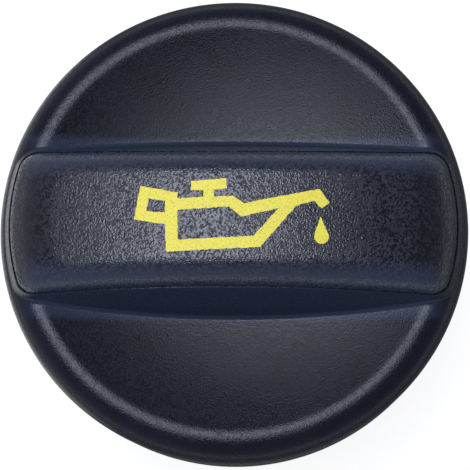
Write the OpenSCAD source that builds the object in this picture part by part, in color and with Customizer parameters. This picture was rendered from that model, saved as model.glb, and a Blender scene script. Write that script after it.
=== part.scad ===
// Oil filler cap: a round knob with a grip bar, its bar cover, a bayonet plug and a sealing ring.
// The origin lies on the axis in the sealing plane, where the ring meets the filler neck.
// +Z points out of the engine, and the grip bar lies along X. Sizes are in millimetres.

/* [Head] */
// Diameter over the rim
head_diameter = 65; // [62:0.5:80]
// Height of the skirt below the widest part of the rim
skirt_height = 10; // [6:0.5:14]
// Draft of the skirt in degrees
skirt_draft = 2; // [0:0.5:4]
// Wall of the head moulding
head_wall = 2.4; // [1.8:0.1:3]
// Roundness of the rim in section
rim_radius = 4.2; // [3.2:0.1:5]
// Depth of the finger bowls at the axis, below the crest of the rim
bowl_depth = 3.6; // [2:0.1:5]

/* [Grip bar] */
// Width of the bar at the middle of the seam under its cover
bar_width = 18.7; // [16:0.1:22]
// Height of that seam above the floor of the bowls, at the middle
bar_height = 10.2; // [7:0.2:13]
// Draft of the bar's walls in degrees
bar_draft = 16.5; // [5:0.5:22]
// Radius of the arch that the seam and the top follow along the bar
arch_radius = 100; // [80:5:400]
// Bow of the long walls: how much wider the bar is at its middle, on each side
side_bow = 0.5; // [0.1:0.1:1]
// Roundness of the bar's corners in plan, at the height of the middle of the seam
bar_corner = 1.4; // [0.8:0.1:3]
// Wall of the bar
bar_wall = 2; // [1.4:0.1:2.4]
// Bevel that forms the groove of the seam
seam_bevel = 0.15; // [0.1:0.05:0.4]

/* [Grip cover] */
// Radius of the cover's round edge, which meets the walls of the bar at the seam
cover_round = 4.5; // [3:0.1:5]
// Wall of the cover
cover_wall = 1.8; // [1:0.1:2.2]
// Length of the slot that takes the cover
slot_length = 50; // [40:0.5:52]
// Width of the lip round that slot
lip_width = 2.2; // [1.8:0.1:3]
// Thickness of the lip
lip_height = 2; // [1.2:0.1:3]
// Width of a snap leg
leg_width = 5; // [3:0.5:8]
// Thickness of a snap leg
leg_thickness = 1.2; // [0.8:0.1:1.6]
// Reach of a snap leg's hook
hook_reach = 0.6; // [0.3:0.1:0.9]

/* [Bayonet plug] */
// Diameter of the stem behind its cams
stem_diameter = 41; // [36:0.5:43]
// Depth of the stem below the sealing plane
stem_depth = 17; // [15:0.5:24]
// Wall of the stem
stem_wall = 2.4; // [1.6:0.1:3]
// Diameter of the pilot at the foot of the stem
pilot_diameter = 40; // [35:0.5:40.8]
// Length of the pilot
pilot_length = 4; // [2:0.5:5]
// Chamfer at the foot of the stem
foot_chamfer = 0.8; // [0.3:0.1:1.5]
// Thickness of the plug's disc
disc_thickness = 2.5; // [1.8:0.1:4]
// Number of bayonet cams
cam_count = 3; // [2:1:4]
// Height of a cam off the stem
cam_height = 2.1; // [1:0.1:2.2]
// Thickness of a cam along the axis, at its root
cam_thickness = 3.8; // [2.4:0.1:4.2]
// Rise of a cam from end to end
cam_rise = 3.5; // [2:0.1:4]
// Angle that a cam covers
cam_span = 82; // [40:1:85]
// Thickness of the cross rib inside the stem
cross_rib = 1.8; // [1:0.1:3]
// Depth of the cross rib below the disc
cross_rib_depth = 9; // [4:0.5:14]

/* [Sealing ring] */
// Thickness of the sealing ring
seal_thickness = 3; // [2:0.1:4]
// Width of its flat sealing face
seal_land = 2.3; // [1.5:0.1:2.8]
// Bevel of its edges
seal_bevel = 0.4; // [0.2:0.1:0.8]

/* [Fits] */
// Clearance between the cover and its slot
cover_clearance = 0.1; // [0.05:0.05:0.3]
// Clearance between the plug's disc and the head's collar
disc_clearance = 0.1; // [0.05:0.05:0.3]
// Clearance round the sealing ring
seal_clearance = 0.1; // [0.05:0.05:0.3]
// Wall of the collar that holds the plug
collar_wall = 1.6; // [1:0.1:2]
// Reach of the snap bead under the disc
snap_bead = 0.5; // [0.3:0.1:0.8]
// Number of keys that turn the plug
key_count = 4; // [2:1:6]
// Width of a key
key_width = 3; // [2:0.5:5]
// Number of stiffening ribs in the skirt
skirt_rib_count = 12; // [6:1:18]
// Thickness of a stiffening rib
skirt_rib = 1.2; // [0.8:0.1:2]

/* [Hidden] */
$fn = 96;
// How far one shape reaches into another that it is joined to, and how far a cut runs past its end
bite = 0.6;
cut = 1;
// Reach of a key, angle of a cam's flanks, and size of its stop and of the bead under the ring
key_reach = 1.4;
cam_flank = 12;
stop_span = 6;
stop_rise = 1.2;
ring_stop_height = 0.7;
// Height of a snap leg's hook
hook_height = 2.4;
// Width of the ledge that the disc seats on
seat_width = 1.4;

// Radii of the plug and the ring, from the stem outwards
stem_radius = stem_diameter / 2;
cam_radius = stem_radius + cam_height;
seal_inner = stem_radius + seal_clearance;
land_inner = cam_radius + 0.3;
land_outer = land_inner + seal_land;
seal_outer = land_outer + seal_bevel;
bead_inner = seal_outer + seal_clearance;
collar_inner = bead_inner + snap_bead;
disc_radius = collar_inner - disc_clearance;
collar_outer = collar_inner + collar_wall;

// Heights of the head, from the sealing plane upwards
ceiling_z = seal_thickness + disc_thickness;
floor_z = ceiling_z + head_wall;
crest_z = floor_z + bowl_depth;
widest_z = crest_z - rim_radius;
skirt_z = widest_z - skirt_height;
seam_z = floor_z + bar_height;
collar_z = seal_thickness - 2 * snap_bead - 0.4;

// The bowl is part of a sphere that runs into the round of the rim
head_radius = head_diameter / 2;
crest_radius = head_radius - rim_radius;
bowl_radius = (pow(crest_radius, 2) + pow(bowl_depth, 2) - 2 * bowl_depth * rim_radius) / (2 * bowl_depth);
bowl_slope = asin(crest_radius / (bowl_radius + rim_radius));
collar_rise = bowl_radius - sqrt(pow(bowl_radius, 2) - pow(collar_inner - seat_width, 2));

// The bar's end walls run out at the widest part of the rim
seam_end_radius = head_radius - (seam_z - widest_z) * tan(bar_draft);
cover_height = cover_round * (1 - sin(bar_draft));

// Half sizes of the slot in the bar
slot_half_width = bar_width / 2 - lip_width;
slot_half_length = slot_length / 2;
lip_z = seam_z - (arch_radius - sqrt(pow(arch_radius, 2) - pow(slot_half_length, 2))) - lip_height;

// Heights of the stem, from its foot upwards
foot_z = -stem_depth;
pilot_z = foot_z + foot_chamfer;
cam_z = pilot_z + pilot_length + cam_thickness / 2 + 0.3;

// Half width of the bar's long walls at a height
function bar_half_width(z) = bar_width / 2 + (seam_z - z) * tan(bar_draft);

// How far the arch of the bar has dropped at a place along it
function arch_drop(x) = arch_radius - sqrt(pow(arch_radius, 2) - pow(x, 2));

// One quarter of the bar in plan, from the middle of its end to the middle of its side.
// Each entry is [x, y, direction of the outward normal in degrees].
function bar_quarter(inset) =
    let (
        end_radius = seam_end_radius - inset,
        half_width = bar_width / 2 - side_bow - inset,
        corner_y = half_width - bar_corner,
        corner_x = sqrt(pow(end_radius - bar_corner, 2) - pow(corner_y, 2)),
        end_angle = atan2(corner_y, corner_x)
    )
    concat(
        [
            for (i = [0:4])
                let (a = end_angle * i / 4)
                    [end_radius * cos(a), end_radius * sin(a), a]
        ],
        [
            for (i = [1:5])
                let (a = end_angle + (90 - end_angle) * i / 5)
                    [corner_x + bar_corner * cos(a), corner_y + bar_corner * sin(a), a]
        ],
        [
            for (i = [1:8])
                let (share = 1 - i / 8)
                    [corner_x * share, half_width + side_bow * (1 - share * share), 90]
        ]
    );

// The whole outline, counterclockwise seen from above, from the +X end
function bar_outline(inset) =
    let (
        quarter = bar_quarter(inset),
        last = len(quarter) - 1,
        half = concat(quarter, [for (i = [last - 1:-1:0]) [-quarter[i].x, quarter[i].y, 180 - quarter[i].z]])
    )
    concat(half, [for (i = [len(half) - 2:-1:1]) [half[i].x, -half[i].y, -half[i].z]]);

// A level ring of the bar's drafted walls, at a height
function wall_ring(z, inset = 0) =
    let (out = (seam_z - z) * tan(bar_draft) - inset)
    [for (p = bar_outline(0)) [p.x + out * cos(p.z), p.y + out * sin(p.z), z]];

// A ring that follows the arch, moved inwards and raised from the seam
function arch_ring(inset, rise) =
    [
        for (p = bar_outline(inset))
            let (out = arch_drop(p.x) * tan(bar_draft))
                [p.x + out * cos(p.z), p.y + out * sin(p.z), seam_z - arch_drop(p.x) + rise]
    ];

// A solid through rings of equal length, from the lowest to the highest.
// Its two ends are closed by strips that run across the bar.
module loft(rings) {
    count = len(rings[0]);
    top = (len(rings) - 1) * count;
    points = [for (ring = rings) each ring];
    sides = [
        for (level = [0:len(rings) - 2])
            for (i = [0:count - 1])
                let (
                    a = level * count + i,
                    b = level * count + (i + 1) % count
                )
                    each [[a, a + count, b + count], [a, b + count, b]]
    ];
    strips = [
        for (i = [1:count / 2 - 2])
            each [[i, i + 1, count - i - 1], [i, count - i - 1, count - i]]
    ];
    tips = [[0, 1, count - 1], [count / 2 - 1, count / 2, count / 2 + 1]];
    under = concat(strips, tips);
    over = [for (face = under) [face[2] + top, face[1] + top, face[0] + top]];
    polyhedron(points = points, faces = concat(sides, under, over), convexity = 4);
}

// The head's section, moved inwards: bowl, rim and skirt down to a height
module head_section(inset, bottom) {
    touch = [
        crest_radius - (rim_radius - inset) * sin(bowl_slope),
        widest_z + (rim_radius - inset) * cos(bowl_slope)
    ];
    skirt_out = head_radius - inset;
    skirt_in = skirt_out - (widest_z - bottom) * tan(skirt_draft);
    difference() {
        translate([0, bottom])
            square([touch.x, touch.y - bottom]);
        translate([0, floor_z + bowl_radius])
            circle(r = bowl_radius + inset, $fn = 720);
    }
    polygon([[touch.x - 0.01, bottom], touch, [crest_radius, widest_z], [skirt_out, widest_z], [skirt_in, bottom]]);
    translate([crest_radius, widest_z])
        circle(r = rim_radius - inset);
}

// Knob moulding: rim, bowls, walls of the bar, skirt and the collar that holds the plug
module cap_head() {
    color("#20232c")
    difference() {
        union() {
            difference() {
                rotate_extrude()
                    head_section(0, skirt_z);
                rotate_extrude()
                    head_section(head_wall, skirt_z - cut);
            }
            bar_body();
            collar();
            skirt_ribs();
        }
        bar_hollow();
    }
}

// Outer form of the bar, from inside the floor up to the seam
module bar_body() {
    loft([
        wall_ring(floor_z - bite, 2 * bite),
        wall_ring(widest_z + 1),
        arch_ring(0, -seam_bevel),
        arch_ring(seam_bevel, 0)
    ]);
}

// Hollow of the bar, open below, and the slot in its top
module bar_hollow() {
    low_z = ceiling_z - cut;
    top = bar_half_width(lip_z) - bar_wall;
    foot = bar_half_width(low_z) - bar_wall;
    translate([-slot_half_length, 0, 0])
        rotate([90, 0, 90])
            linear_extrude(height = slot_length)
                polygon([[-foot, low_z], [foot, low_z], [top, lip_z], [-top, lip_z]]);
    slot_block(0, lip_z - cut, seam_z + cut);
}

// Collar under the floor, with its snap bead and the keys that turn the plug
module collar() {
    rotate_extrude()
        polygon([
            [collar_outer, collar_z],
            [collar_outer, widest_z + rim_radius - head_wall + bite / 2],
            [collar_inner - seat_width, floor_z + collar_rise - head_wall / 2],
            [collar_inner - seat_width, ceiling_z],
            [collar_inner, ceiling_z],
            [collar_inner, seal_thickness],
            [bead_inner, seal_thickness - snap_bead],
            [collar_inner, collar_z]
        ]);
    for (i = [0:key_count - 1])
        rotate([0, 0, 45 + 360 * i / key_count])
            translate([collar_inner - key_reach, -key_width / 2, seal_thickness + disc_clearance])
                cube([key_reach + bite, key_width, disc_thickness]);
}

// Radial ribs between the collar and the skirt
module skirt_ribs() {
    start = collar_outer - bite;
    length = head_radius - head_wall + bite - start;
    height = widest_z + rim_radius - head_wall + bite / 2 - collar_z;
    for (i = [0:skirt_rib_count - 1])
        rotate([0, 0, 360 * (i + 0.5) / skirt_rib_count])
            translate([start, -skirt_rib / 2, collar_z])
                cube([length, skirt_rib, height]);
}

// Rectangle of the slot, moved inwards, as a block between two heights
module slot_block(inset, bottom, top) {
    half_length = slot_half_length - inset;
    half_width = slot_half_width - inset;
    translate([-half_length, -half_width, bottom])
        cube([2 * half_length, 2 * half_width, top - bottom]);
}

// Layer between two heights above the seam that follows the arch of the bar
module arch_layer(low, high) {
    width = 2 * bar_width;
    translate([0, width / 2, seam_z - arch_radius])
        rotate([90, 0, 0])
            difference() {
                cylinder(r = arch_radius + high, h = width, $fn = 720);
                translate([0, 0, -cut])
                    cylinder(r = arch_radius + low, h = width + 2 * cut, $fn = 720);
            }
}

// Cover of the grip bar, with a rim and four snap legs that hold it in the slot
module grip_cover() {
    round_steps = 8;
    angles = [for (i = [0:round_steps]) bar_draft + (90 - bar_draft) * i / round_steps];
    color("#2c2f39") {
        difference() {
            union() {
                loft(concat(
                    [arch_ring(seam_bevel, 0)],
                    [arch_ring(0, seam_bevel)],
                    [
                        for (i = [1:round_steps])
                            arch_ring(
                                cover_round * (cos(bar_draft) - cos(angles[i])),
                                cover_round * (sin(angles[i]) - sin(bar_draft))
                            )
                    ]
                ));
                intersection() {
                    arch_layer(-lip_height, bite);
                    slot_block(cover_clearance, lip_z, seam_z + cut);
                }
            }
            intersection() {
                arch_layer(-lip_height - cut, cover_height - cover_wall);
                slot_block(cover_clearance + leg_thickness, lip_z - cut, seam_z + cover_height);
            }
        }
        for (side = [-1, 1])
            for (turn = [0, 180])
                rotate([0, 0, turn])
                    translate([side * slot_length / 4 - leg_width / 2, 0, 0])
                        snap_leg();
    }
}

// Leg at the long side of the slot, with its hook under the lip
module snap_leg() {
    outside = slot_half_width - cover_clearance;
    inside = outside - leg_thickness;
    root_z = seam_z - arch_drop(slot_length / 4);
    hook_z = lip_z - cover_clearance;
    tip = outside + cover_clearance + hook_reach;
    rotate([90, 0, 90])
        linear_extrude(height = leg_width)
            polygon([
                [inside, root_z],
                [inside, hook_z - hook_height],
                [outside, hook_z - hook_height],
                [tip, hook_z - hook_height / 3],
                [tip, hook_z],
                [outside, hook_z],
                [outside, root_z]
            ]);
}

// Lower moulding: disc under the head, hollow stem, bayonet cams and cross rib
module bayonet_plug() {
    bore = stem_radius - stem_wall;
    pilot = pilot_diameter / 2;
    color("#17181b") {
        difference() {
            rotate_extrude()
                polygon([
                    [0, ceiling_z],
                    [disc_radius, ceiling_z],
                    [disc_radius, seal_thickness],
                    [stem_radius, seal_thickness],
                    [stem_radius, pilot_z + pilot_length],
                    [pilot, pilot_z + pilot_length],
                    [pilot, pilot_z],
                    [pilot - foot_chamfer, foot_z],
                    [bore, foot_z],
                    [bore, seal_thickness],
                    [0, seal_thickness]
                ]);
            key_notches();
        }
        ring_stop();
        for (turn = [0, 90])
            rotate([0, 0, turn])
                translate([-bore - bite, -cross_rib / 2, seal_thickness - cross_rib_depth])
                    cube([2 * (bore + bite), cross_rib, cross_rib_depth + bite]);
        for (i = [0:cam_count - 1])
            rotate([0, 0, 360 * i / cam_count]) {
                bayonet_cam();
                cam_stop();
            }
    }
}

// Notches in the edge of the disc, one for each key
module key_notches() {
    width = key_width + 2 * disc_clearance;
    for (i = [0:key_count - 1])
        rotate([0, 0, 45 + 360 * i / key_count])
            translate([collar_inner - key_reach - disc_clearance, -width / 2, seal_thickness - cut])
                cube([key_reach + cut, width, disc_thickness + 2 * cut]);
}

// Low bead on the stem that keeps the sealing ring on
module ring_stop() {
    rotate_extrude()
        polygon([
            [stem_radius - bite, -ring_stop_height],
            [stem_radius, -ring_stop_height],
            [stem_radius + ring_stop_height, 0],
            [stem_radius, ring_stop_height / 2],
            [stem_radius - bite, ring_stop_height / 2]
        ]);
}

// Corner points of a cam's section at a share of its length, with a lead-in at its low end
function cam_section(share) =
    let (
        angle = cam_span * share,
        z = cam_z + cam_rise * share,
        lead_in = min(1, share * 5),
        tip = stem_radius - bite / 2 + (cam_height + bite / 2) * lead_in,
        root_half = cam_thickness / 2,
        tip_half = root_half - cam_height * tan(cam_flank)
    )
    [
        for (p = [[stem_radius - bite, -root_half], [tip, -tip_half], [tip, tip_half], [stem_radius - bite, root_half]])
            [p.x * cos(angle), p.x * sin(angle), z + p.y]
    ];

// One helical cam, swept up round the stem
module bayonet_cam() {
    steps = 20;
    points = [for (i = [0:steps]) each cam_section(i / steps)];
    sides = [
        for (i = [0:steps - 1])
            for (k = [0:3])
                let (
                    a = 4 * i + k,
                    b = 4 * i + (k + 1) % 4
                )
                    each [[a, b, b + 4], [a, b + 4, a + 4]]
    ];
    ends = [[3, 2, 1, 0], [4 * steps, 4 * steps + 1, 4 * steps + 2, 4 * steps + 3]];
    polyhedron(points = points, faces = concat(sides, ends), convexity = 6);
}

// Block at the high end of a cam that ends the quarter turn
module cam_stop() {
    rotate([0, 0, cam_span - 1])
        rotate_extrude(angle = stop_span)
            translate([stem_radius - bite, cam_z + cam_rise - cam_thickness / 2])
                square([cam_height + bite, cam_thickness + stop_rise]);
}

// Rubber ring under the disc, flat where it meets the filler neck
module sealing_ring() {
    color("#2b2a29")
        rotate_extrude()
            polygon([
                [seal_inner, seal_thickness],
                [seal_inner, seal_thickness / 2],
                [land_inner, 0],
                [land_outer, 0],
                [seal_outer, seal_bevel],
                [seal_outer, seal_thickness - seal_bevel],
                [seal_outer - seal_bevel, seal_thickness]
            ]);
}

cap_head();
grip_cover();
bayonet_plug();
sealing_ring();
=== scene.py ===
"""Dresses the oil filler cap: smooth mouldings, a printed symbol, plastics, rubber, light and camera."""

import math
import random

import bmesh
import bpy
import numpy as np
from mathutils import Matrix, Vector
from mathutils.geometry import tessellate_polygon


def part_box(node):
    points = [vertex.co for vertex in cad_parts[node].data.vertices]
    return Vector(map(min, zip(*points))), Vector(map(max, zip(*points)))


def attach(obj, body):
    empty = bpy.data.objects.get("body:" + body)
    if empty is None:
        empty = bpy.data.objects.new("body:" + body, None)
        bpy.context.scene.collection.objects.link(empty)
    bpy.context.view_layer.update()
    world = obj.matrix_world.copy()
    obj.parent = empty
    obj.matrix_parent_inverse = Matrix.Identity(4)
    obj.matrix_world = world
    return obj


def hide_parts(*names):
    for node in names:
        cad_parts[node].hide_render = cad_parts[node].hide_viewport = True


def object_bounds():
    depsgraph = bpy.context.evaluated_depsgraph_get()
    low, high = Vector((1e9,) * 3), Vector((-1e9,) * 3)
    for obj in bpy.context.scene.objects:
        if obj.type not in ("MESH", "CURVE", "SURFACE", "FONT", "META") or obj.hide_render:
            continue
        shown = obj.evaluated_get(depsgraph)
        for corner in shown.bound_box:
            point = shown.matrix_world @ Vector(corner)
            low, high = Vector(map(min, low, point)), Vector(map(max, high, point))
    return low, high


MM = 0.001

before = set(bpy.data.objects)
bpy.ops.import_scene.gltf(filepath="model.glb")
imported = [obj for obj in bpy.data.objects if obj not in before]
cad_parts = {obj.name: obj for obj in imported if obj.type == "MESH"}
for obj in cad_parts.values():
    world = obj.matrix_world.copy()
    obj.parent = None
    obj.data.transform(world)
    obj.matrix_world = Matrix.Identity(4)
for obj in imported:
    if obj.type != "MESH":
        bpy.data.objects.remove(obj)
CAD_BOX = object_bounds()
HEAD_LOW, HEAD_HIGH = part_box("cap_head")

# Heights taken from the frame, where the sealing plane is zero
STEM_FOOT = CAD_BOX[0][2]
SKIRT_FOOT = HEAD_LOW[2]
SEAM = HEAD_HIGH[2]
COVER_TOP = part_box("grip_cover")[1][2]
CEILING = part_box("bayonet_plug")[1][2]
SEAL_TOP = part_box("sealing_ring")[1][2]

# Knob: rim, finger bowls and skirt
HEAD_WALL = 2.4 * MM
FLOOR = CEILING + HEAD_WALL
HEAD_RADIUS = 32.5 * MM
RIM_ROUND = 3.55 * MM
BOWL_DEPTH = 4.6 * MM
SKIRT_DRAFT = math.radians(2)
SKIRT_EDGE = 0.4 * MM
CREST_RADIUS = HEAD_RADIUS - RIM_ROUND
WIDEST = FLOOR + BOWL_DEPTH - RIM_ROUND
BOWL_RADIUS = (CREST_RADIUS**2 + BOWL_DEPTH**2 - 2 * BOWL_DEPTH * RIM_ROUND) / (2 * BOWL_DEPTH)
BOWL_SLOPE = math.asin(CREST_RADIUS / (BOWL_RADIUS + RIM_ROUND))

# Grip bar: drafted walls that follow an arch, and the round at their foot
BAR_WIDTH = 18.7 * MM
BAR_DRAFT = math.radians(16.5)
END_DRAFT = math.radians(21)
BAR_CORNER = 1.4 * MM
BAR_WALL = 2 * MM
SIDE_BOW = 0.5 * MM
ARCH_RADIUS = 100 * MM
FOOT_ROUND = 0.6 * MM
SEAM_END_RADIUS = HEAD_RADIUS - (SEAM - WIDEST) * math.tan(END_DRAFT)

# Seam: a slit between the cover and the top edge of the wall, which is just broken. The points of
# the broken edge are shares of its size, outwards and down.
SLIT_DEPTH = 0.4 * MM
SLIT_WIDTH = 0.13 * MM
WALL_INSET = 0.03 * MM
WALL_EDGE = 0.02 * MM
WALL_EDGE_POINTS = ((0, 1), (0.3, 0.3), (1, 0.2))

# Grip cover: its round edge, drawn out at the ends, its rim in the slot and its snap legs
COVER_ROUND = 3.7 * MM
COVER_END_REACH = 2 * MM
COVER_WALL = 1.8 * MM
COVER_HEIGHT = COVER_TOP - SEAM
SLOT_EDGE = 2.2 * MM
SLOT_HALF_LENGTH = 25 * MM
SLOT_HALF_WIDTH = BAR_WIDTH / 2 - SLOT_EDGE
SLOT_DEPTH = 2 * MM
SLOT_FOOT = SEAM - (ARCH_RADIUS - math.sqrt(ARCH_RADIUS**2 - SLOT_HALF_LENGTH**2)) - SLOT_DEPTH
LEG_WIDTH = 5 * MM
LEG_THICKNESS = 1.2 * MM
HOOK_HEIGHT = 2.4 * MM
HOOK_LAND = HOOK_HEIGHT / 3
HOOK_REACH = 0.6 * MM

# Collar under the head that holds the plug, and the ribs that stiffen the skirt
COLLAR_INNER = 26.2 * MM
COLLAR_OUTER = 27.8 * MM
COLLAR_FOOT = 1.6 * MM
SEAT_WIDTH = 1.4 * MM
SNAP_BEAD = 0.5 * MM
KEY_REACH = 1.4 * MM
KEY_WIDTH = 3 * MM
KEY_COUNT = 4
RIB_COUNT = 12
RIB_THICKNESS = 1.2 * MM

# Clearance of parts that fit into each other, how far one shape reaches into another that it is
# joined to, and how far a cut runs past its end
FIT_GAP = 0.1 * MM
BITE = 0.6 * MM
CUT = 1 * MM

# Fineness of the meshes: steps along outlines and arcs, rings down the walls and over the knob
END_STEPS = 12
CORNER_STEPS = 24
SIDE_STEPS = 60
WALL_RINGS = 8
FOOT_RINGS = 12
KNOB_RINGS = 64
SKIRT_RINGS = 5
EDGE_RINGS = 6
COVER_RINGS = 24
INNER_ROUND_STEPS = 12
INNER_BOWL_STEPS = 20
DROP_STEPS = 12
TURN_STEPS = 240
RIM_FINENESS = 4
SECTION_STEPS = 200

# Edges that turn by more than this are shaded sharp
SHARP_ANGLE = math.radians(32)

# How often the two searches come closer to where a drafted wall meets the arch and the knob
SEAM_TRIES = 6
FOOT_TRIES = 80

# Ink of the print: how far it stands above the cover's top, and how far it sinks in
INK_THICKNESS = 0.03 * MM
INK_SUNK = INK_THICKNESS / 3

# Printed oil can, in millimetres on the cover's top, seen from above
INK_STEP = 0.3
INK_RAGGED = 0.05
CAN_BODY = [
    (-7.23, 2.19), (-3.73, 2.39), (-3.73, 3.29), (-5.43, 3.29), (-5.43, 4.49), (-0.73, 4.89),
    (-0.63, 3.49), (-2.33, 3.34), (-2.33, 2.34), (0.22, 2.54), (1.72, 1.49), (11.76, 3.57),
    (13.11, 1.74), (12.05, 0.94), (11.02, 1.97), (8.72, 1.27), (3.85, -4.41), (-8.68, -5.01),
    (-8.88, -1.31), (-13.08, -0.61), (-12.23, 3.94), (-7.23, 2.99),
]
CAN_WINDOW = [(-7.18, 0.64), (-0.33, 1.04), (1.27, -0.31), (6.35, 0.88), (2.97, -2.91), (-7.13, -3.41)]
HANDLE_WINDOW = [(-11.14, 2.24), (-8.88, 1.89), (-8.93, 0.24), (-11.39, 0.54)]
DROP_CENTRE = (12.02, -2.88)
DROP_RADIUS = 0.98
DROP_TIP = (11.9, -0.17)

# Colours of the plastics: the two that cloud into each other, and a third laid along both sides of the bar
# as painted fill light
BLUE_BLACK = ("#15171f", "#191b27", "#2b3343")
BLACK = ("#131415", "#1a1b1c", "#1a1b1c")

# Sizes and depths of the patterns in the materials. Pits of a real grain are about 0.1 mm across,
# finer than a pixel of the render, so both grains are drawn about twice as coarse to show at all.
COVER_GRAIN = 0.23 * MM
COVER_GRAIN_DEPTH = 0.03 * MM
KNOB_GRAIN = 0.2 * MM
KNOB_GRAIN_DEPTH = 0.02 * MM
CLOUD_SIZE = 6 * MM
BLOOM_SIZE = 2 * MM
BLOOM_DEPTH = 0.05 * MM
INK_GRAIN_DEPTH = 0.006 * MM

# Painted fill light: a paler band on each side of the bar, over the cover's edge and down the wall, and
# how softly it fades at its inner side, at its outer side and at the bar's ends
PAINTED_FILL_FROM = 5.5 * MM
PAINTED_FILL_TO = 13.2 * MM
PAINTED_FILL_END = 29.5 * MM
INNER_FADE = 2 * MM
OUTER_FADE = 1 * MM
END_FADE = 3 * MM

# Light of the room: its strength low down and high up, what it is multiplied by at the left and at
# the right, and how far up or sideways a direction has to point for that
ROOM_LOW = 0.5
ROOM_HIGH = 0.1
ROOM_HIGH_FROM = 0.7
ROOM_LEFT = 1.3
ROOM_RIGHT = 0.5
ROOM_SIDES_FROM = 0.9

# How much more of the room's light falls on matt surfaces than shows as a reflection
MATT_SHARE = 3.0

# Board under the cap: half its width, its glow, and how far off a reflection starts to show the glow
BOARD_HALF = 3000 * MM
BOARD_GLOW = 0.87
BOARD_NEAR = 110 * MM

# Lamps
DAYLIGHT = "#e9edff"
SOFTBOX_TOWARDS = (-0.137, 0.14, 1.0)
SOFTBOX_DISTANCE = 1000 * MM
SOFTBOX_WIDTH = 660 * MM
SOFTBOX_POWER = 7.5
TABLE_LIGHT_SIZE = (46 * MM, 110 * MM)
TABLE_LIGHT_PLACE = (-58 * MM, 0, STEM_FOOT + 1 * MM)
TABLE_LIGHT_POWER = 0.0145

# Camera: straight above, leaning a little towards the lower edge of the photograph
CAMERA_LEAN = math.radians(9.7)
CAMERA_SIDE = math.radians(1.6)
CAMERA_ROLL = math.radians(0.36)
CAMERA_DISTANCE = 300 * MM
CAMERA_AIM = Vector((0.17 * MM, -0.7 * MM, WIDEST))
VIEW_WIDTH = 65.3 * MM
SENSOR = 36
NEAREST = 10 * MM
FARTHEST = 20000 * MM

# Sockets of the Mix node by their place: its share, its two numbers, its two colours and, on the
# other side, the colour it gives
SHARE = 0
NUMBER_A = 2
NUMBER_B = 3
COLOUR_A = 6
COLOUR_B = 7
COLOUR = 2


# Meshes


def mesh_piece(name, points, faces):
    """A mesh object from points and faces, with its normals turned outwards."""
    mesh = bpy.data.meshes.new(name)
    mesh.from_pydata([tuple(p) for p in points], [], faces)
    shape = bmesh.new()
    shape.from_mesh(mesh)
    bmesh.ops.recalc_face_normals(shape, faces=shape.faces)
    shape.to_mesh(mesh)
    shape.free()
    piece = bpy.data.objects.new(name, mesh)
    bpy.context.scene.collection.objects.link(piece)
    return piece


def loft(name, rings):
    """A solid through rings of equal length, closed at both ends by strips across it."""
    count = len(rings[0])
    points = np.concatenate(rings)
    faces = []
    for level in range(len(rings) - 1):
        low = level * count
        for i in range(count):
            j = (i + 1) % count
            faces.append((low + i, low + j, low + count + j, low + count + i))
    for end in (0, (len(rings) - 1) * count):
        half = count // 2
        faces.append((end, end + 1, end + count - 1))
        faces.append((end + half - 1, end + half, end + half + 1))
        for i in range(1, half - 1):
            faces.append((end + i, end + i + 1, end + count - i - 1, end + count - i))
    return mesh_piece(name, points, faces)


def turned(name, profile):
    """A solid turned about the axis from a profile of (radius, height) that starts and ends on it."""
    points = [(0, 0, profile[0][1]), (0, 0, profile[-1][1])]
    for radius, height in profile[1:-1]:
        for i in range(TURN_STEPS):
            angle = 2 * math.pi * i / TURN_STEPS
            points.append((radius * math.cos(angle), radius * math.sin(angle), height))
    last = 2 + (len(profile) - 3) * TURN_STEPS
    faces = []
    for i in range(TURN_STEPS):
        j = (i + 1) % TURN_STEPS
        faces.append((0, 2 + j, 2 + i))
        faces.append((1, last + i, last + j))
        for low in range(2, last, TURN_STEPS):
            faces.append((low + i, low + j, low + TURN_STEPS + j, low + TURN_STEPS + i))
    return mesh_piece(name, points, faces)


def prism(name, profile, place):
    """A solid between two copies of a flat profile; place puts (u, v, end) into the frame."""
    count = len(profile)
    points = [place(u, v, end) for end in (0, 1) for u, v in profile]
    faces = [tuple(range(count)), tuple(range(2 * count - 1, count - 1, -1))]
    faces += [(i, (i + 1) % count, count + (i + 1) % count, count + i) for i in range(count)]
    return mesh_piece(name, points, faces)


def block(name, low, high, turn=0.0):
    """A box between two corners, turned about the axis."""
    profile = [(low[0], low[1]), (high[0], low[1]), (high[0], high[1]), (low[0], high[1])]
    piece = prism(name, profile, lambda u, v, end: (u, v, high[2] if end else low[2]))
    piece.data.transform(Matrix.Rotation(turn, 4, "Z"))
    return piece


def combine(piece, operation, *others):
    """Joins other solids to a piece, or cuts them from it, and removes them."""
    for other in others:
        modifier = piece.modifiers.new("combine", "BOOLEAN")
        modifier.operation = operation
        modifier.solver = "MANIFOLD"
        modifier.object = other
        solid = piece.evaluated_get(bpy.context.evaluated_depsgraph_get())
        mesh = bpy.data.meshes.new_from_object(solid)
        piece.modifiers.clear()
        piece.data = mesh
        bpy.data.objects.remove(other)


def smooth(piece):
    """Shades a piece smooth between its sharp edges."""
    piece.data.shade_smooth()
    piece.data.set_sharp_from_angle(angle=SHARP_ANGLE)


# Forms of the bar and the knob


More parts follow.
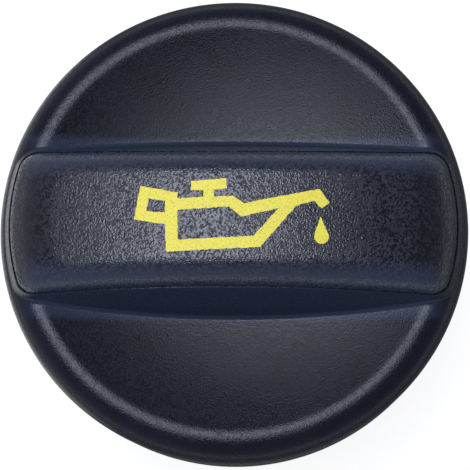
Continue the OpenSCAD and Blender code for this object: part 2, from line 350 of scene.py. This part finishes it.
def bar_outline(inset=0.0, end_inset=0.0):
    """The bar in plan at the middle of its seam: x, y and direction of the outward normal."""
    end_radius = SEAM_END_RADIUS - inset - end_inset
    half_width = BAR_WIDTH / 2 - SIDE_BOW - inset
    corner_y = half_width - BAR_CORNER
    corner_x = math.sqrt((end_radius - BAR_CORNER) ** 2 - corner_y**2)
    end_angle = math.atan2(corner_y, corner_x)
    quarter = []
    for angle in np.linspace(0, end_angle, END_STEPS + 1):
        quarter.append((end_radius * math.cos(angle), end_radius * math.sin(angle), angle))
    for angle in np.linspace(end_angle, math.pi / 2, CORNER_STEPS + 1)[1:]:
        x = corner_x + BAR_CORNER * math.cos(angle)
        quarter.append((x, corner_y + BAR_CORNER * math.sin(angle), angle))
    for share in np.linspace(1, 0, SIDE_STEPS + 1)[1:]:
        quarter.append((corner_x * share, half_width + SIDE_BOW * (1 - share**2), math.pi / 2))
    half = quarter + [(-x, y, math.pi - angle) for x, y, angle in quarter[-2::-1]]
    return np.array(half + [(x, -y, -angle) for x, y, angle in half[-2:0:-1]])


def arch_drop(x):
    """How far the arch of the bar has dropped at a place along it."""
    return ARCH_RADIUS - np.sqrt(ARCH_RADIUS**2 - x**2)


def moved_out(outline, out, height):
    """A ring of points moved out from an outline along its normals."""
    x = outline[:, 0] + out * np.cos(outline[:, 2])
    y = outline[:, 1] + out * np.sin(outline[:, 2])
    return np.column_stack([x, y, np.zeros(len(x)) + height])


def wall_slope(outline):
    """How far the bar's walls move out for each step down: more at the ends than along the sides."""
    extra = math.tan(END_DRAFT) - math.tan(BAR_DRAFT)
    return math.tan(BAR_DRAFT) + extra * np.cos(outline[:, 2]) ** 2


def seam_drop(outline):
    """How far the seam has dropped at each point once the drafted wall has moved the point out."""
    drop = arch_drop(outline[:, 0])
    for _ in range(SEAM_TRIES):
        drop = arch_drop(moved_out(outline, drop * wall_slope(outline), 0)[:, 0])
    return drop


def arch_ring(inset, rise, end_inset=0.0):
    """A ring that follows the arch, moved inwards and raised from the seam."""
    outline = bar_outline(inset, end_inset)
    drop = seam_drop(outline)
    return moved_out(outline, drop * wall_slope(outline), SEAM - drop + rise)


def knob_section():
    """The knob's section from axis to widest circle: radius, height, lean of the normal, and length."""
    bowl = np.linspace(0, BOWL_SLOPE, SECTION_STEPS)
    rim = np.linspace(-BOWL_SLOPE, math.pi / 2, SECTION_STEPS)[1:]
    radius = np.append(BOWL_RADIUS * np.sin(bowl), CREST_RADIUS + RIM_ROUND * np.sin(rim))
    height = np.append(FLOOR + BOWL_RADIUS * (1 - np.cos(bowl)), WIDEST + RIM_ROUND * np.cos(rim))
    lean = np.append(-bowl, rim)
    rim_length = RIM_FINENESS * RIM_ROUND * (rim + BOWL_SLOPE)
    length = np.append(BOWL_RADIUS * bowl, BOWL_RADIUS * BOWL_SLOPE + rim_length)
    return radius, height, lean, length


def foot_ring(outline, off_wall, off_knob):
    """The ring that lies at these distances off the bar's wall and off the knob's surface."""
    radius, height, lean, _ = knob_section()
    slope = wall_slope(outline)
    z = np.full(len(outline), WIDEST + RIM_ROUND)
    for _ in range(FOOT_TRIES):
        out = (SEAM - z) * slope + off_wall * np.sqrt(1 + slope**2)
        ring = moved_out(outline, out, z)
        here = np.hypot(ring[:, 0], ring[:, 1])
        z = np.interp(here, radius, height) + off_knob / np.cos(np.interp(here, radius, lean))
    return moved_out(outline, out, z)


def foot_reach(outline):
    """How far the round at the bar's foot reaches: less where wall and knob meet at a flat angle."""
    radius, _, lean, _ = knob_section()
    foot = foot_ring(outline, 0, 0)
    here = np.hypot(foot[:, 0], foot[:, 1])
    outward = (foot[:, 0] * np.cos(outline[:, 2]) + foot[:, 1] * np.sin(outline[:, 2])) / here
    turn = math.pi / 2 - np.arctan(wall_slope(outline)) - np.interp(here, radius, lean) * outward
    return FOOT_ROUND * (1 / np.cos(turn / 2) - 1) / (1 - math.sqrt(0.5))


def knob_rings(outline, inner):
    """Rings over the bowl and the rim, from the foot of the bar out to the widest circle."""
    radius, height, _, length = knob_section()
    start = np.interp(np.hypot(inner[:, 0], inner[:, 1]), radius, length)
    along = outline[:, 0] * np.cos(outline[:, 2]) + outline[:, 1] * np.sin(outline[:, 2])
    across = outline[:, 0] ** 2 + outline[:, 1] ** 2 - along**2
    rings = []
    for share in np.linspace(0, 1, KNOB_RINGS + 1)[1:]:
        here = np.interp(start + (length[-1] - start) * share, length, radius)
        z = np.interp(here, radius, height)
        rings.append(moved_out(outline, np.sqrt(here**2 - across) - along, z))
    return rings


def skirt_rings(widest):
    """Rings down the drafted skirt and round its lower edge."""
    turn = np.arctan2(widest[:, 1], widest[:, 0])
    steps = []
    low = SKIRT_FOOT + SKIRT_EDGE
    for z in np.linspace(WIDEST, low, SKIRT_RINGS + 1)[1:]:
        steps.append((HEAD_RADIUS - (WIDEST - z) * math.tan(SKIRT_DRAFT), z))
    edge = steps[-1][0] - SKIRT_EDGE
    for angle in np.linspace(0, math.pi / 2, EDGE_RINGS + 1)[1:]:
        steps.append((edge + SKIRT_EDGE * math.cos(angle), low - SKIRT_EDGE * math.sin(angle)))
    flat = np.zeros(len(turn))
    return [np.column_stack([r * np.cos(turn), r * np.sin(turn), flat + z]) for r, z in steps]


def head_skin():
    """Outer form of the knob and its bar as one closed solid, with the wall's top edge just broken."""
    outline = bar_outline()
    reach = foot_reach(outline)
    foot = [
        foot_ring(outline, reach * (1 - math.sin(angle)), reach * (1 - math.cos(angle)))
        for angle in np.linspace(math.pi / 2, 0, FOOT_RINGS + 1)
    ]
    slit = WALL_INSET + SLIT_WIDTH
    walls = [arch_ring(2 * slit, -SLIT_DEPTH), arch_ring(WALL_INSET, -SLIT_DEPTH)]
    for out, down in WALL_EDGE_POINTS:
        walls.append(arch_ring(WALL_INSET - out * WALL_EDGE, -down * WALL_EDGE))
    top = SEAM - seam_drop(outline) - 2 * WALL_EDGE
    for share in np.linspace(0, 1, WALL_RINGS + 1)[:-1]:
        z = top + (foot[0][:, 2] - top) * share
        walls.append(moved_out(outline, (SEAM - z) * wall_slope(outline), z))
    knob = knob_rings(outline, foot[-1])
    return loft("head_moulding", walls + foot + knob + skirt_rings(knob[-1]))


def inner_bowl(radius):
    """Height of the underside of the bowls at a radius."""
    return FLOOR + BOWL_RADIUS - math.sqrt((BOWL_RADIUS + HEAD_WALL) ** 2 - radius**2)


def head_cavity():
    """The space under the head: round the collar, and above the plug's disc."""
    low = SKIRT_FOOT - CUT
    skirt = HEAD_RADIUS - HEAD_WALL
    seat = COLLAR_INNER - SEAT_WIDTH
    inner_round = RIM_ROUND - HEAD_WALL
    profile = [(0, low), (skirt - (WIDEST - low) * math.tan(SKIRT_DRAFT), low), (skirt, WIDEST)]
    for angle in np.linspace(0, math.pi / 2, INNER_ROUND_STEPS + 1)[1:]:
        radius = CREST_RADIUS + inner_round * math.cos(angle)
        profile.append((radius, WIDEST + inner_round * math.sin(angle)))
    profile += [
        (COLLAR_OUTER, WIDEST + inner_round),
        (COLLAR_OUTER, COLLAR_FOOT),
        (COLLAR_INNER, COLLAR_FOOT),
        (COLLAR_INNER - SNAP_BEAD, SEAL_TOP - SNAP_BEAD),
        (COLLAR_INNER, SEAL_TOP),
        (COLLAR_INNER, CEILING),
        (seat, CEILING),
    ]
    profile += [(radius, inner_bowl(radius)) for radius in np.linspace(seat, 0, INNER_BOWL_STEPS)]
    return turned("head_cavity", profile)


def bar_hollow():
    """The hollow of the bar, open below, and the slot in its top that takes the cover."""
    low = CEILING - CUT
    top = BAR_WIDTH / 2 + (SEAM - SLOT_FOOT) * math.tan(BAR_DRAFT) - BAR_WALL
    foot = BAR_WIDTH / 2 + (SEAM - low) * math.tan(BAR_DRAFT) - BAR_WALL
    half = [(foot, low), (top, SLOT_FOOT), (SLOT_HALF_WIDTH, SLOT_FOOT), (SLOT_HALF_WIDTH, SEAM + CUT)]
    profile = half + [(-y, z) for y, z in half[::-1]]
    return prism("bar_hollow", profile, lambda y, z, end: ((2 * end - 1) * SLOT_HALF_LENGTH, y, z))


def knob_moulding():
    """Rim, bowls, bar, skirt, collar, keys and ribs: the moulding that the hand turns."""
    piece = head_skin()
    combine(piece, "DIFFERENCE", head_cavity())
    top = WIDEST + RIM_ROUND - HEAD_WALL / 2
    for i in range(RIB_COUNT):
        low = (COLLAR_OUTER - BITE, -RIB_THICKNESS / 2, COLLAR_FOOT)
        high = (HEAD_RADIUS - HEAD_WALL + BITE, RIB_THICKNESS / 2, top)
        combine(piece, "UNION", block("rib", low, high, 2 * math.pi * (i + 0.5) / RIB_COUNT))
    for i in range(KEY_COUNT):
        low = (COLLAR_INNER - KEY_REACH, -KEY_WIDTH / 2, SEAL_TOP + FIT_GAP)
        high = (COLLAR_INNER + BITE, KEY_WIDTH / 2, CEILING + FIT_GAP)
        combine(piece, "UNION", block("key", low, high, math.pi / 4 + 2 * math.pi * i / KEY_COUNT))
    combine(piece, "DIFFERENCE", bar_hollow())
    return piece


def arch_prism(name, half_length, half_width, low, high, floor=-1.0):
    """A layer that follows the arch between two heights above the seam, never below a floor."""
    along = np.linspace(-half_length, half_length, 2 * SIDE_STEPS + 1)
    line = SEAM - arch_drop(along)
    profile = [(x, max(z + low, floor)) for x, z in zip(along, line)]
    profile += [(x, z + high) for x, z in zip(along[::-1], line[::-1])]
    return prism(name, profile, lambda x, z, end: (x, (1 - 2 * end) * half_width, z))


def snap_leg(side, turn):
    """One leg at the long side of the slot, with its hook under the slot's edge."""
    outside = SLOT_HALF_WIDTH - FIT_GAP
    inside = outside - LEG_THICKNESS
    root = SEAM - float(arch_drop(SLOT_HALF_LENGTH / 2))
    hook = SLOT_FOOT - FIT_GAP
    tip = SLOT_HALF_WIDTH + HOOK_REACH
    middle = side * SLOT_HALF_LENGTH / 2
    profile = [
        (inside, root), (inside, hook - HOOK_HEIGHT), (outside, hook - HOOK_HEIGHT),
        (tip, hook - HOOK_LAND), (tip, hook), (outside, hook), (outside, root),
    ]
    leg = prism("snap_leg", profile, lambda y, z, end: (middle + (end - 0.5) * LEG_WIDTH, y, z))
    leg.data.transform(Matrix.Rotation(turn, 4, "Z"))
    return leg


def bar_cover():
    """The cover: an arched top with a round edge, a rim in the slot, a pocket and four snap legs."""
    edge = WALL_INSET + SLIT_WIDTH
    straight = COVER_HEIGHT - COVER_ROUND * (1 - math.sin(BAR_DRAFT))
    rings = [arch_ring(edge, -SLIT_DEPTH), arch_ring(edge, 0)]
    for angle in np.linspace(BAR_DRAFT, math.pi / 2, COVER_RINGS + 1):
        share = 1 - math.cos(angle) / math.cos(BAR_DRAFT)
        inset = edge + straight * math.tan(BAR_DRAFT) + COVER_ROUND * math.cos(BAR_DRAFT) * share
        rise = straight + COVER_ROUND * (math.sin(angle) - math.sin(BAR_DRAFT))
        rings.append(arch_ring(inset, rise, COVER_END_REACH * share))
    piece = loft("bar_cover", rings)
    half_length = SLOT_HALF_LENGTH - FIT_GAP
    half_width = SLOT_HALF_WIDTH - FIT_GAP
    combine(piece, "UNION", arch_prism("rim", half_length, half_width, -SLOT_DEPTH, BITE, SLOT_FOOT))
    pocket_top = COVER_HEIGHT - COVER_WALL
    inner = (half_length - LEG_THICKNESS, half_width - LEG_THICKNESS)
    combine(piece, "DIFFERENCE", arch_prism("pocket", *inner, -SLOT_DEPTH - CUT, pocket_top))
    for side in (-1, 1):
        for turn in (0, math.pi):
            combine(piece, "UNION", snap_leg(side, turn))
    return piece


# Print


def ragged(loop, seed):
    """A closed outline with points at equal steps, each moved a little as the edge of an ink print is."""
    chance = random.Random(seed)
    points = []
    for (x0, y0), (x1, y1) in zip(loop, loop[1:] + loop[:1]):
        steps = max(1, round(math.hypot(x1 - x0, y1 - y0) / INK_STEP))
        for i in range(steps):
            x = x0 + (x1 - x0) * i / steps + chance.uniform(-INK_RAGGED, INK_RAGGED)
            y = y0 + (y1 - y0) * i / steps + chance.uniform(-INK_RAGGED, INK_RAGGED)
            points.append((x * MM, y * MM))
    return points


def drop_outline():
    """The oil drop: an arc with two sides that run to its tip."""
    tip_x, tip_y = DROP_TIP
    centre_x, centre_y = DROP_CENTRE
    away = math.atan2(tip_y - centre_y, tip_x - centre_x)
    half = math.acos(DROP_RADIUS / math.hypot(tip_x - centre_x, tip_y - centre_y))
    points = [DROP_TIP]
    for i in range(DROP_STEPS + 1):
        angle = away + half + (2 * math.pi - 2 * half) * i / DROP_STEPS
        x = centre_x + DROP_RADIUS * math.cos(angle)
        points.append((x, centre_y + DROP_RADIUS * math.sin(angle)))
    return points


def plate(name, loops, low, high):
    """A flat solid between two heights with an outline and windows in it."""
    flat = [point for loop in loops for point in loop]
    count = len(flat)
    points = [(x, y, z) for z in (low, high) for x, y in flat]
    faces = []
    for a, b, c in tessellate_polygon([[Vector((x, y, 0)) for x, y in loop] for loop in loops]):
        faces += [(a, b, c), (a + count, b + count, c + count)]
    start = 0
    for loop in loops:
        for i in range(len(loop)):
            a = start + i
            b = start + (i + 1) % len(loop)
            faces.append((a, b, b + count, a + count))
        start += len(loop)
    return mesh_piece(name, points, faces)


def oil_can_print():
    """The oil can with its drop, a skin of ink that follows the arched top of the cover."""
    low = SEAM
    high = COVER_TOP + CUT
    can = [ragged(CAN_BODY, 1), ragged(CAN_WINDOW, 2), ragged(HANDLE_WINDOW, 3)]
    piece = plate("oil_can_print", can, low, high)
    combine(piece, "UNION", plate("drop", [ragged(drop_outline(), 4)], low, high))
    below = COVER_HEIGHT - INK_SUNK
    above = COVER_HEIGHT + INK_THICKNESS
    combine(piece, "INTERSECT", arch_prism("ink", SLOT_HALF_LENGTH, SLOT_HALF_WIDTH, below, above))
    return piece


# Materials


def linear(code):
    """Turns an sRGB hex colour into linear RGBA."""
    values = [int(code[i : i + 2], 16) / 255 for i in (1, 3, 5)]
    return [v / 12.92 if v <= 0.04045 else ((v + 0.055) / 1.055) ** 2.4 for v in values] + [1]


def node(tree, kind, inputs=None, **settings):
    """Adds a node with its settings; an input that is another node's socket is linked."""
    made = tree.nodes.new(kind)
    for key, value in settings.items():
        setattr(made, key, value)
    for key, value in (inputs or {}).items():
        if isinstance(value, bpy.types.NodeSocket):
            tree.links.new(value, made.inputs[key])
        else:
            made.inputs[key].default_value = value
    return made


def new_material(name):
    """An empty material and the object coordinates of its tree."""
    material = bpy.data.materials.new(name)
    material.use_nodes = True
    tree = material.node_tree
    tree.nodes.clear()
    return material, tree, node(tree, "ShaderNodeTexCoord").outputs["Object"]


def painted_fill_band(tree, place):
    """Share of the paler colour at a place: a band of painted fill light on both sides of the bar."""
    parts = node(tree, "ShaderNodeSeparateXYZ", {"Vector": place})
    along = node(tree, "ShaderNodeMath", {0: parts.outputs["X"]}, operation="ABSOLUTE")
    across = node(tree, "ShaderNodeMath", {0: parts.outputs["Y"]}, operation="ABSOLUTE")
    inner = node(
        tree, "ShaderNodeMapRange",
        {"Value": across.outputs[0], "From Min": PAINTED_FILL_FROM, "From Max": PAINTED_FILL_FROM + INNER_FADE},
    )
    outer = node(
        tree, "ShaderNodeMapRange",
        {"Value": across.outputs[0], "From Min": PAINTED_FILL_TO, "From Max": PAINTED_FILL_TO - OUTER_FADE},
    )
    ends = node(
        tree, "ShaderNodeMapRange",
        {"Value": along.outputs[0], "From Min": PAINTED_FILL_END, "From Max": PAINTED_FILL_END - END_FADE},
    )
    sides = node(
        tree, "ShaderNodeMath", {0: inner.outputs[0], 1: outer.outputs[0]}, operation="MULTIPLY"
    )
    band = node(tree, "ShaderNodeMath", {0: sides.outputs[0], 1: ends.outputs[0]}, operation="MULTIPLY")
    return band.outputs[0]


def spark_eroded_polyamide(name, shades, shine, roughness, spread, grain_size, grain_depth):
    """Polyamide from a spark-eroded mould: satin, with pits that glint one by one, and painted fill light
    along the bar's sides.
    """
    material, tree, place = new_material(name)
    grain = node(tree, "ShaderNodeTexVoronoi", {"Vector": place, "Scale": 1 / grain_size})
    cloud = node(tree, "ShaderNodeTexNoise", {"Vector": place, "Scale": 1 / CLOUD_SIZE, "Detail": 4.0})
    bump = node(
        tree, "ShaderNodeBump",
        {"Height": grain.outputs["Distance"], "Strength": 1.0, "Distance": grain_depth},
    )
    share = node(
        tree, "ShaderNodeMapRange",
        {"Value": cloud.outputs["Fac"], "From Min": 0.3, "From Max": 0.7},
    )
    shade = node(
        tree, "ShaderNodeMix",
        {SHARE: share.outputs["Result"], COLOUR_A: linear(shades[0]), COLOUR_B: linear(shades[1])},
        data_type="RGBA",
    )
    # Painted fill light: the third shade laid over the band along both sides of the bar
    with_painted_fill = node(
        tree, "ShaderNodeMix",
        {SHARE: painted_fill_band(tree, place), COLOUR_A: shade.outputs[COLOUR], COLOUR_B: linear(shades[2])},
        data_type="RGBA",
    )
    gloss = node(
        tree, "ShaderNodeMapRange",
        {
            "Value": grain.outputs["Color"], "From Min": 0.3, "From Max": 0.7,
            "To Min": roughness - spread, "To Max": roughness + spread,
        },
    )
    skin = node(
        tree, "ShaderNodeBsdfPrincipled",
        {
            "Base Color": with_painted_fill.outputs[COLOUR], "Roughness": gloss.outputs[0], "IOR": 1.53,
            "Specular IOR Level": shine, "Normal": bump.outputs["Normal"],
        },
    )
    node(tree, "ShaderNodeOutputMaterial", {"Surface": skin.outputs["BSDF"]})
    return material


def pad_printed_ink():
    """Yellow two-part ink from a silicone pad: flat and silky, thin where it bridges the pits beneath."""
    material, tree, place = new_material("pad_printed_yellow_ink")
    grain = node(
        tree, "ShaderNodeTexNoise",
        {"Vector": place, "Scale": 1 / COVER_GRAIN, "Detail": 2.0, "Roughness": 0.6},
    )
    bump = node(
        tree, "ShaderNodeBump",
        {"Height": grain.outputs["Fac"], "Strength": 1.0, "Distance": INK_GRAIN_DEPTH},
    )
    share = node(
        tree, "ShaderNodeMapRange",
        {"Value": grain.outputs["Fac"], "From Min": 0.32, "From Max": 0.5},
    )
    shade = node(
        tree, "ShaderNodeMix",
        {SHARE: share.outputs["Result"], COLOUR_A: linear("#cfc030"), COLOUR_B: linear("#f2e646")},
        data_type="RGBA",
    )
    skin = node(
        tree, "ShaderNodeBsdfPrincipled",
        {
            "Base Color": shade.outputs[COLOUR], "Roughness": 0.5, "IOR": 1.5,
            "Normal": bump.outputs["Normal"],
        },
    )
    node(tree, "ShaderNodeOutputMaterial", {"Surface": skin.outputs["BSDF"]})
    return material


def moulded_nitrile_rubber():
    """Black nitrile rubber, press moulded: matt, with a faint bloom."""
    material, tree, place = new_material("moulded_nitrile_rubber")
    bloom = node(
        tree, "ShaderNodeTexNoise",
        {"Vector": place, "Scale": 1 / BLOOM_SIZE, "Detail": 5.0, "Roughness": 0.6},
    )
    bump = node(
        tree, "ShaderNodeBump",
        {"Height": bloom.outputs["Fac"], "Strength": 0.5, "Distance": BLOOM_DEPTH},
    )
    share = node(
        tree, "ShaderNodeMapRange",
        {"Value": bloom.outputs["Fac"], "From Min": 0.35, "From Max": 0.7},
    )
    shade = node(
        tree, "ShaderNodeMix",
        {SHARE: share.outputs["Result"], COLOUR_A: linear("#191919"), COLOUR_B: linear("#262524")},
        data_type="RGBA",
    )
    skin = node(
        tree, "ShaderNodeBsdfPrincipled",
        {
            "Base Color": shade.outputs[COLOUR], "Roughness": 0.62, "IOR": 1.52,
            "Normal": bump.outputs["Normal"],
        },
    )
    node(tree, "ShaderNodeOutputMaterial", {"Surface": skin.outputs["BSDF"]})
    return material


def painted_board():
    """Matt board that glows white to the camera and in far reflections, and is plain paint near the cap."""
    material, tree, _ = new_material("matt_white_board")
    rays = node(tree, "ShaderNodeLightPath")
    far = node(
        tree, "ShaderNodeMath", {0: rays.outputs["Ray Length"], 1: BOARD_NEAR}, operation="GREATER_THAN"
    )
    bright = node(
        tree, "ShaderNodeMath",
        {0: rays.outputs["Is Glossy Ray"], 1: rays.outputs["Is Transmission Ray"]},
        operation="ADD",
    )
    bright = node(
        tree, "ShaderNodeMath", {0: bright.outputs[0], 1: far.outputs[0]}, operation="MULTIPLY"
    )
    seen = node(
        tree, "ShaderNodeMath", {0: rays.outputs["Is Camera Ray"], 1: bright.outputs[0]}, operation="ADD"
    )
    glow = node(tree, "ShaderNodeMath", {0: seen.outputs[0], 1: BOARD_GLOW}, operation="MULTIPLY")
    paint = node(tree, "ShaderNodeBsdfDiffuse", {"Color": linear("#868684")})
    white = node(
        tree, "ShaderNodeEmission", {"Color": linear("#ffffff"), "Strength": glow.outputs[0]}
    )
    both = node(tree, "ShaderNodeAddShader", {0: paint.outputs[0], 1: white.outputs[0]})
    node(tree, "ShaderNodeOutputMaterial", {"Surface": both.outputs[0]})
    return material


def dress(piece, material):
    """Gives a whole piece one material."""
    piece.data.materials.clear()
    piece.data.materials.append(material)


# Stage


def board_under_cap():
    """The board that the cap stands on with the foot of its stem."""
    half = BOARD_HALF
    z = STEM_FOOT
    corners = [(-half, -half, z), (half, -half, z), (half, half, z), (-half, half, z)]
    return mesh_piece("floor", corners, [(0, 1, 2, 3)])


def room_light():
    """Light of a plain room: dim above, brighter low down, less from the right, and white to the camera."""
    world = bpy.data.worlds.new("room")
    bpy.context.scene.world = world
    world.use_nodes = True
    tree = world.node_tree
    tree.nodes.clear()
    towards = node(tree, "ShaderNodeTexCoord").outputs["Generated"]
    parts = node(tree, "ShaderNodeSeparateXYZ", {"Vector": towards})
    height = node(
        tree, "ShaderNodeMapRange",
        {
            "Value": parts.outputs["Z"], "From Min": 0.0, "From Max": ROOM_HIGH_FROM,
            "To Min": ROOM_LOW, "To Max": ROOM_HIGH,
        },
    )
    side = node(
        tree, "ShaderNodeMapRange",
        {
            "Value": parts.outputs["X"], "From Min": -ROOM_SIDES_FROM, "From Max": ROOM_SIDES_FROM,
            "To Min": ROOM_LEFT, "To Max": ROOM_RIGHT,
        },
    )
    level = node(
        tree, "ShaderNodeMath",
        {0: height.outputs["Result"], 1: side.outputs["Result"]},
        operation="MULTIPLY",
    )
    rays = node(tree, "ShaderNodeLightPath")
    share = node(
        tree, "ShaderNodeMix",
        {SHARE: rays.outputs["Is Glossy Ray"], NUMBER_A: MATT_SHARE, NUMBER_B: 1.0},
    )
    strength = node(
        tree, "ShaderNodeMath", {0: level.outputs[0], 1: share.outputs[0]}, operation="MULTIPLY"
    )
    dim = node(
        tree, "ShaderNodeBackground", {"Color": linear(DAYLIGHT), "Strength": strength.outputs[0]}
    )
    white = node(tree, "ShaderNodeBackground", {"Color": linear("#ffffff"), "Strength": 1.0})
    mixed = node(
        tree, "ShaderNodeMixShader",
        {0: rays.outputs["Is Camera Ray"], 1: dim.outputs[0], 2: white.outputs[0]},
    )
    node(tree, "ShaderNodeOutputWorld", {"Surface": mixed.outputs[0]})


def area_lamp(name, shape, size, power, colour):
    """A lamp with a flat, soft face that shines down until it is turned."""
    light = bpy.data.lights.new(name, "AREA")
    light.shape = shape
    light.size = size[0]
    light.size_y = size[1]
    light.energy = power
    light.color = linear(colour)[:3]
    lamp = bpy.data.objects.new(name, light)
    bpy.context.scene.collection.objects.link(lamp)
    return lamp


def softbox():
    """A round lamp high above the cap that looks at it, a little cool as daylight is."""
    size = (SOFTBOX_WIDTH, SOFTBOX_WIDTH)
    lamp = area_lamp("softbox", "DISK", size, SOFTBOX_POWER, DAYLIGHT)
    towards = Vector(SOFTBOX_TOWARDS).normalized()
    lamp.location = towards * SOFTBOX_DISTANCE
    lamp.rotation_euler = towards.to_track_quat("Z", "Y").to_euler()


def table_light():
    """Light that the table at the left throws up at the cap's end; the camera doesn't see it."""
    lamp = area_lamp("table_light", "RECTANGLE", TABLE_LIGHT_SIZE, TABLE_LIGHT_POWER, "#ffffff")
    lamp.location = TABLE_LIGHT_PLACE
    lamp.rotation_euler = (math.pi, 0, 0)
    lamp.visible_camera = False


def camera():
    """The camera of the photograph: nearly straight above the cap."""
    back = Vector((math.tan(CAMERA_SIDE), -math.tan(CAMERA_LEAN), 1)).normalized()
    right = Vector((0, 1, 0)).cross(back).normalized()
    up = back.cross(right)
    screen_right = right * math.cos(CAMERA_ROLL) + up * math.sin(CAMERA_ROLL)
    screen_up = up * math.cos(CAMERA_ROLL) - right * math.sin(CAMERA_ROLL)
    data = bpy.data.cameras.new("camera")
    data.sensor_width = SENSOR
    data.lens = SENSOR * CAMERA_DISTANCE / VIEW_WIDTH
    data.clip_start = NEAREST
    data.clip_end = FARTHEST
    lens = bpy.data.objects.new("camera", data)
    bpy.context.scene.collection.objects.link(lens)
    turn = Matrix((screen_right, screen_up, back)).transposed().to_4x4()
    lens.matrix_world = Matrix.Translation(CAMERA_AIM + back * CAMERA_DISTANCE) @ turn
    bpy.context.scene.camera = lens


# The dressed cap with its camera, board and light

bpy.context.scene.view_settings.view_transform = "Standard"

camera()

knob_plastic = spark_eroded_polyamide(
    "fine_spark_eroded_polyamide", BLUE_BLACK, shine=0.24, roughness=0.26, spread=0.1,
    grain_size=KNOB_GRAIN, grain_depth=KNOB_GRAIN_DEPTH,
)
cover_plastic = spark_eroded_polyamide(
    "coarse_spark_eroded_polyamide", BLUE_BLACK, shine=0.5, roughness=0.3, spread=0.28,
    grain_size=COVER_GRAIN, grain_depth=COVER_GRAIN_DEPTH,
)
plug_plastic = spark_eroded_polyamide(
    "glass_filled_polyamide", BLACK, shine=0.4, roughness=0.48, spread=0.05,
    grain_size=KNOB_GRAIN, grain_depth=KNOB_GRAIN_DEPTH,
)
rubber = moulded_nitrile_rubber()
ink = pad_printed_ink()

knob = knob_moulding()
smooth(knob)
dress(knob, knob_plastic)
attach(knob, "root")
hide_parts("cap_head")

cover = bar_cover()
smooth(cover)
dress(cover, cover_plastic)
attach(cover, "root")
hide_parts("grip_cover")

print_piece = oil_can_print()
dress(print_piece, ink)
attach(print_piece, "root")

for name, material in (("bayonet_plug", plug_plastic), ("sealing_ring", rubber)):
    dress(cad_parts[name], material)

board = board_under_cap()
dress(board, painted_board())

room_light()
table_light()
softbox()
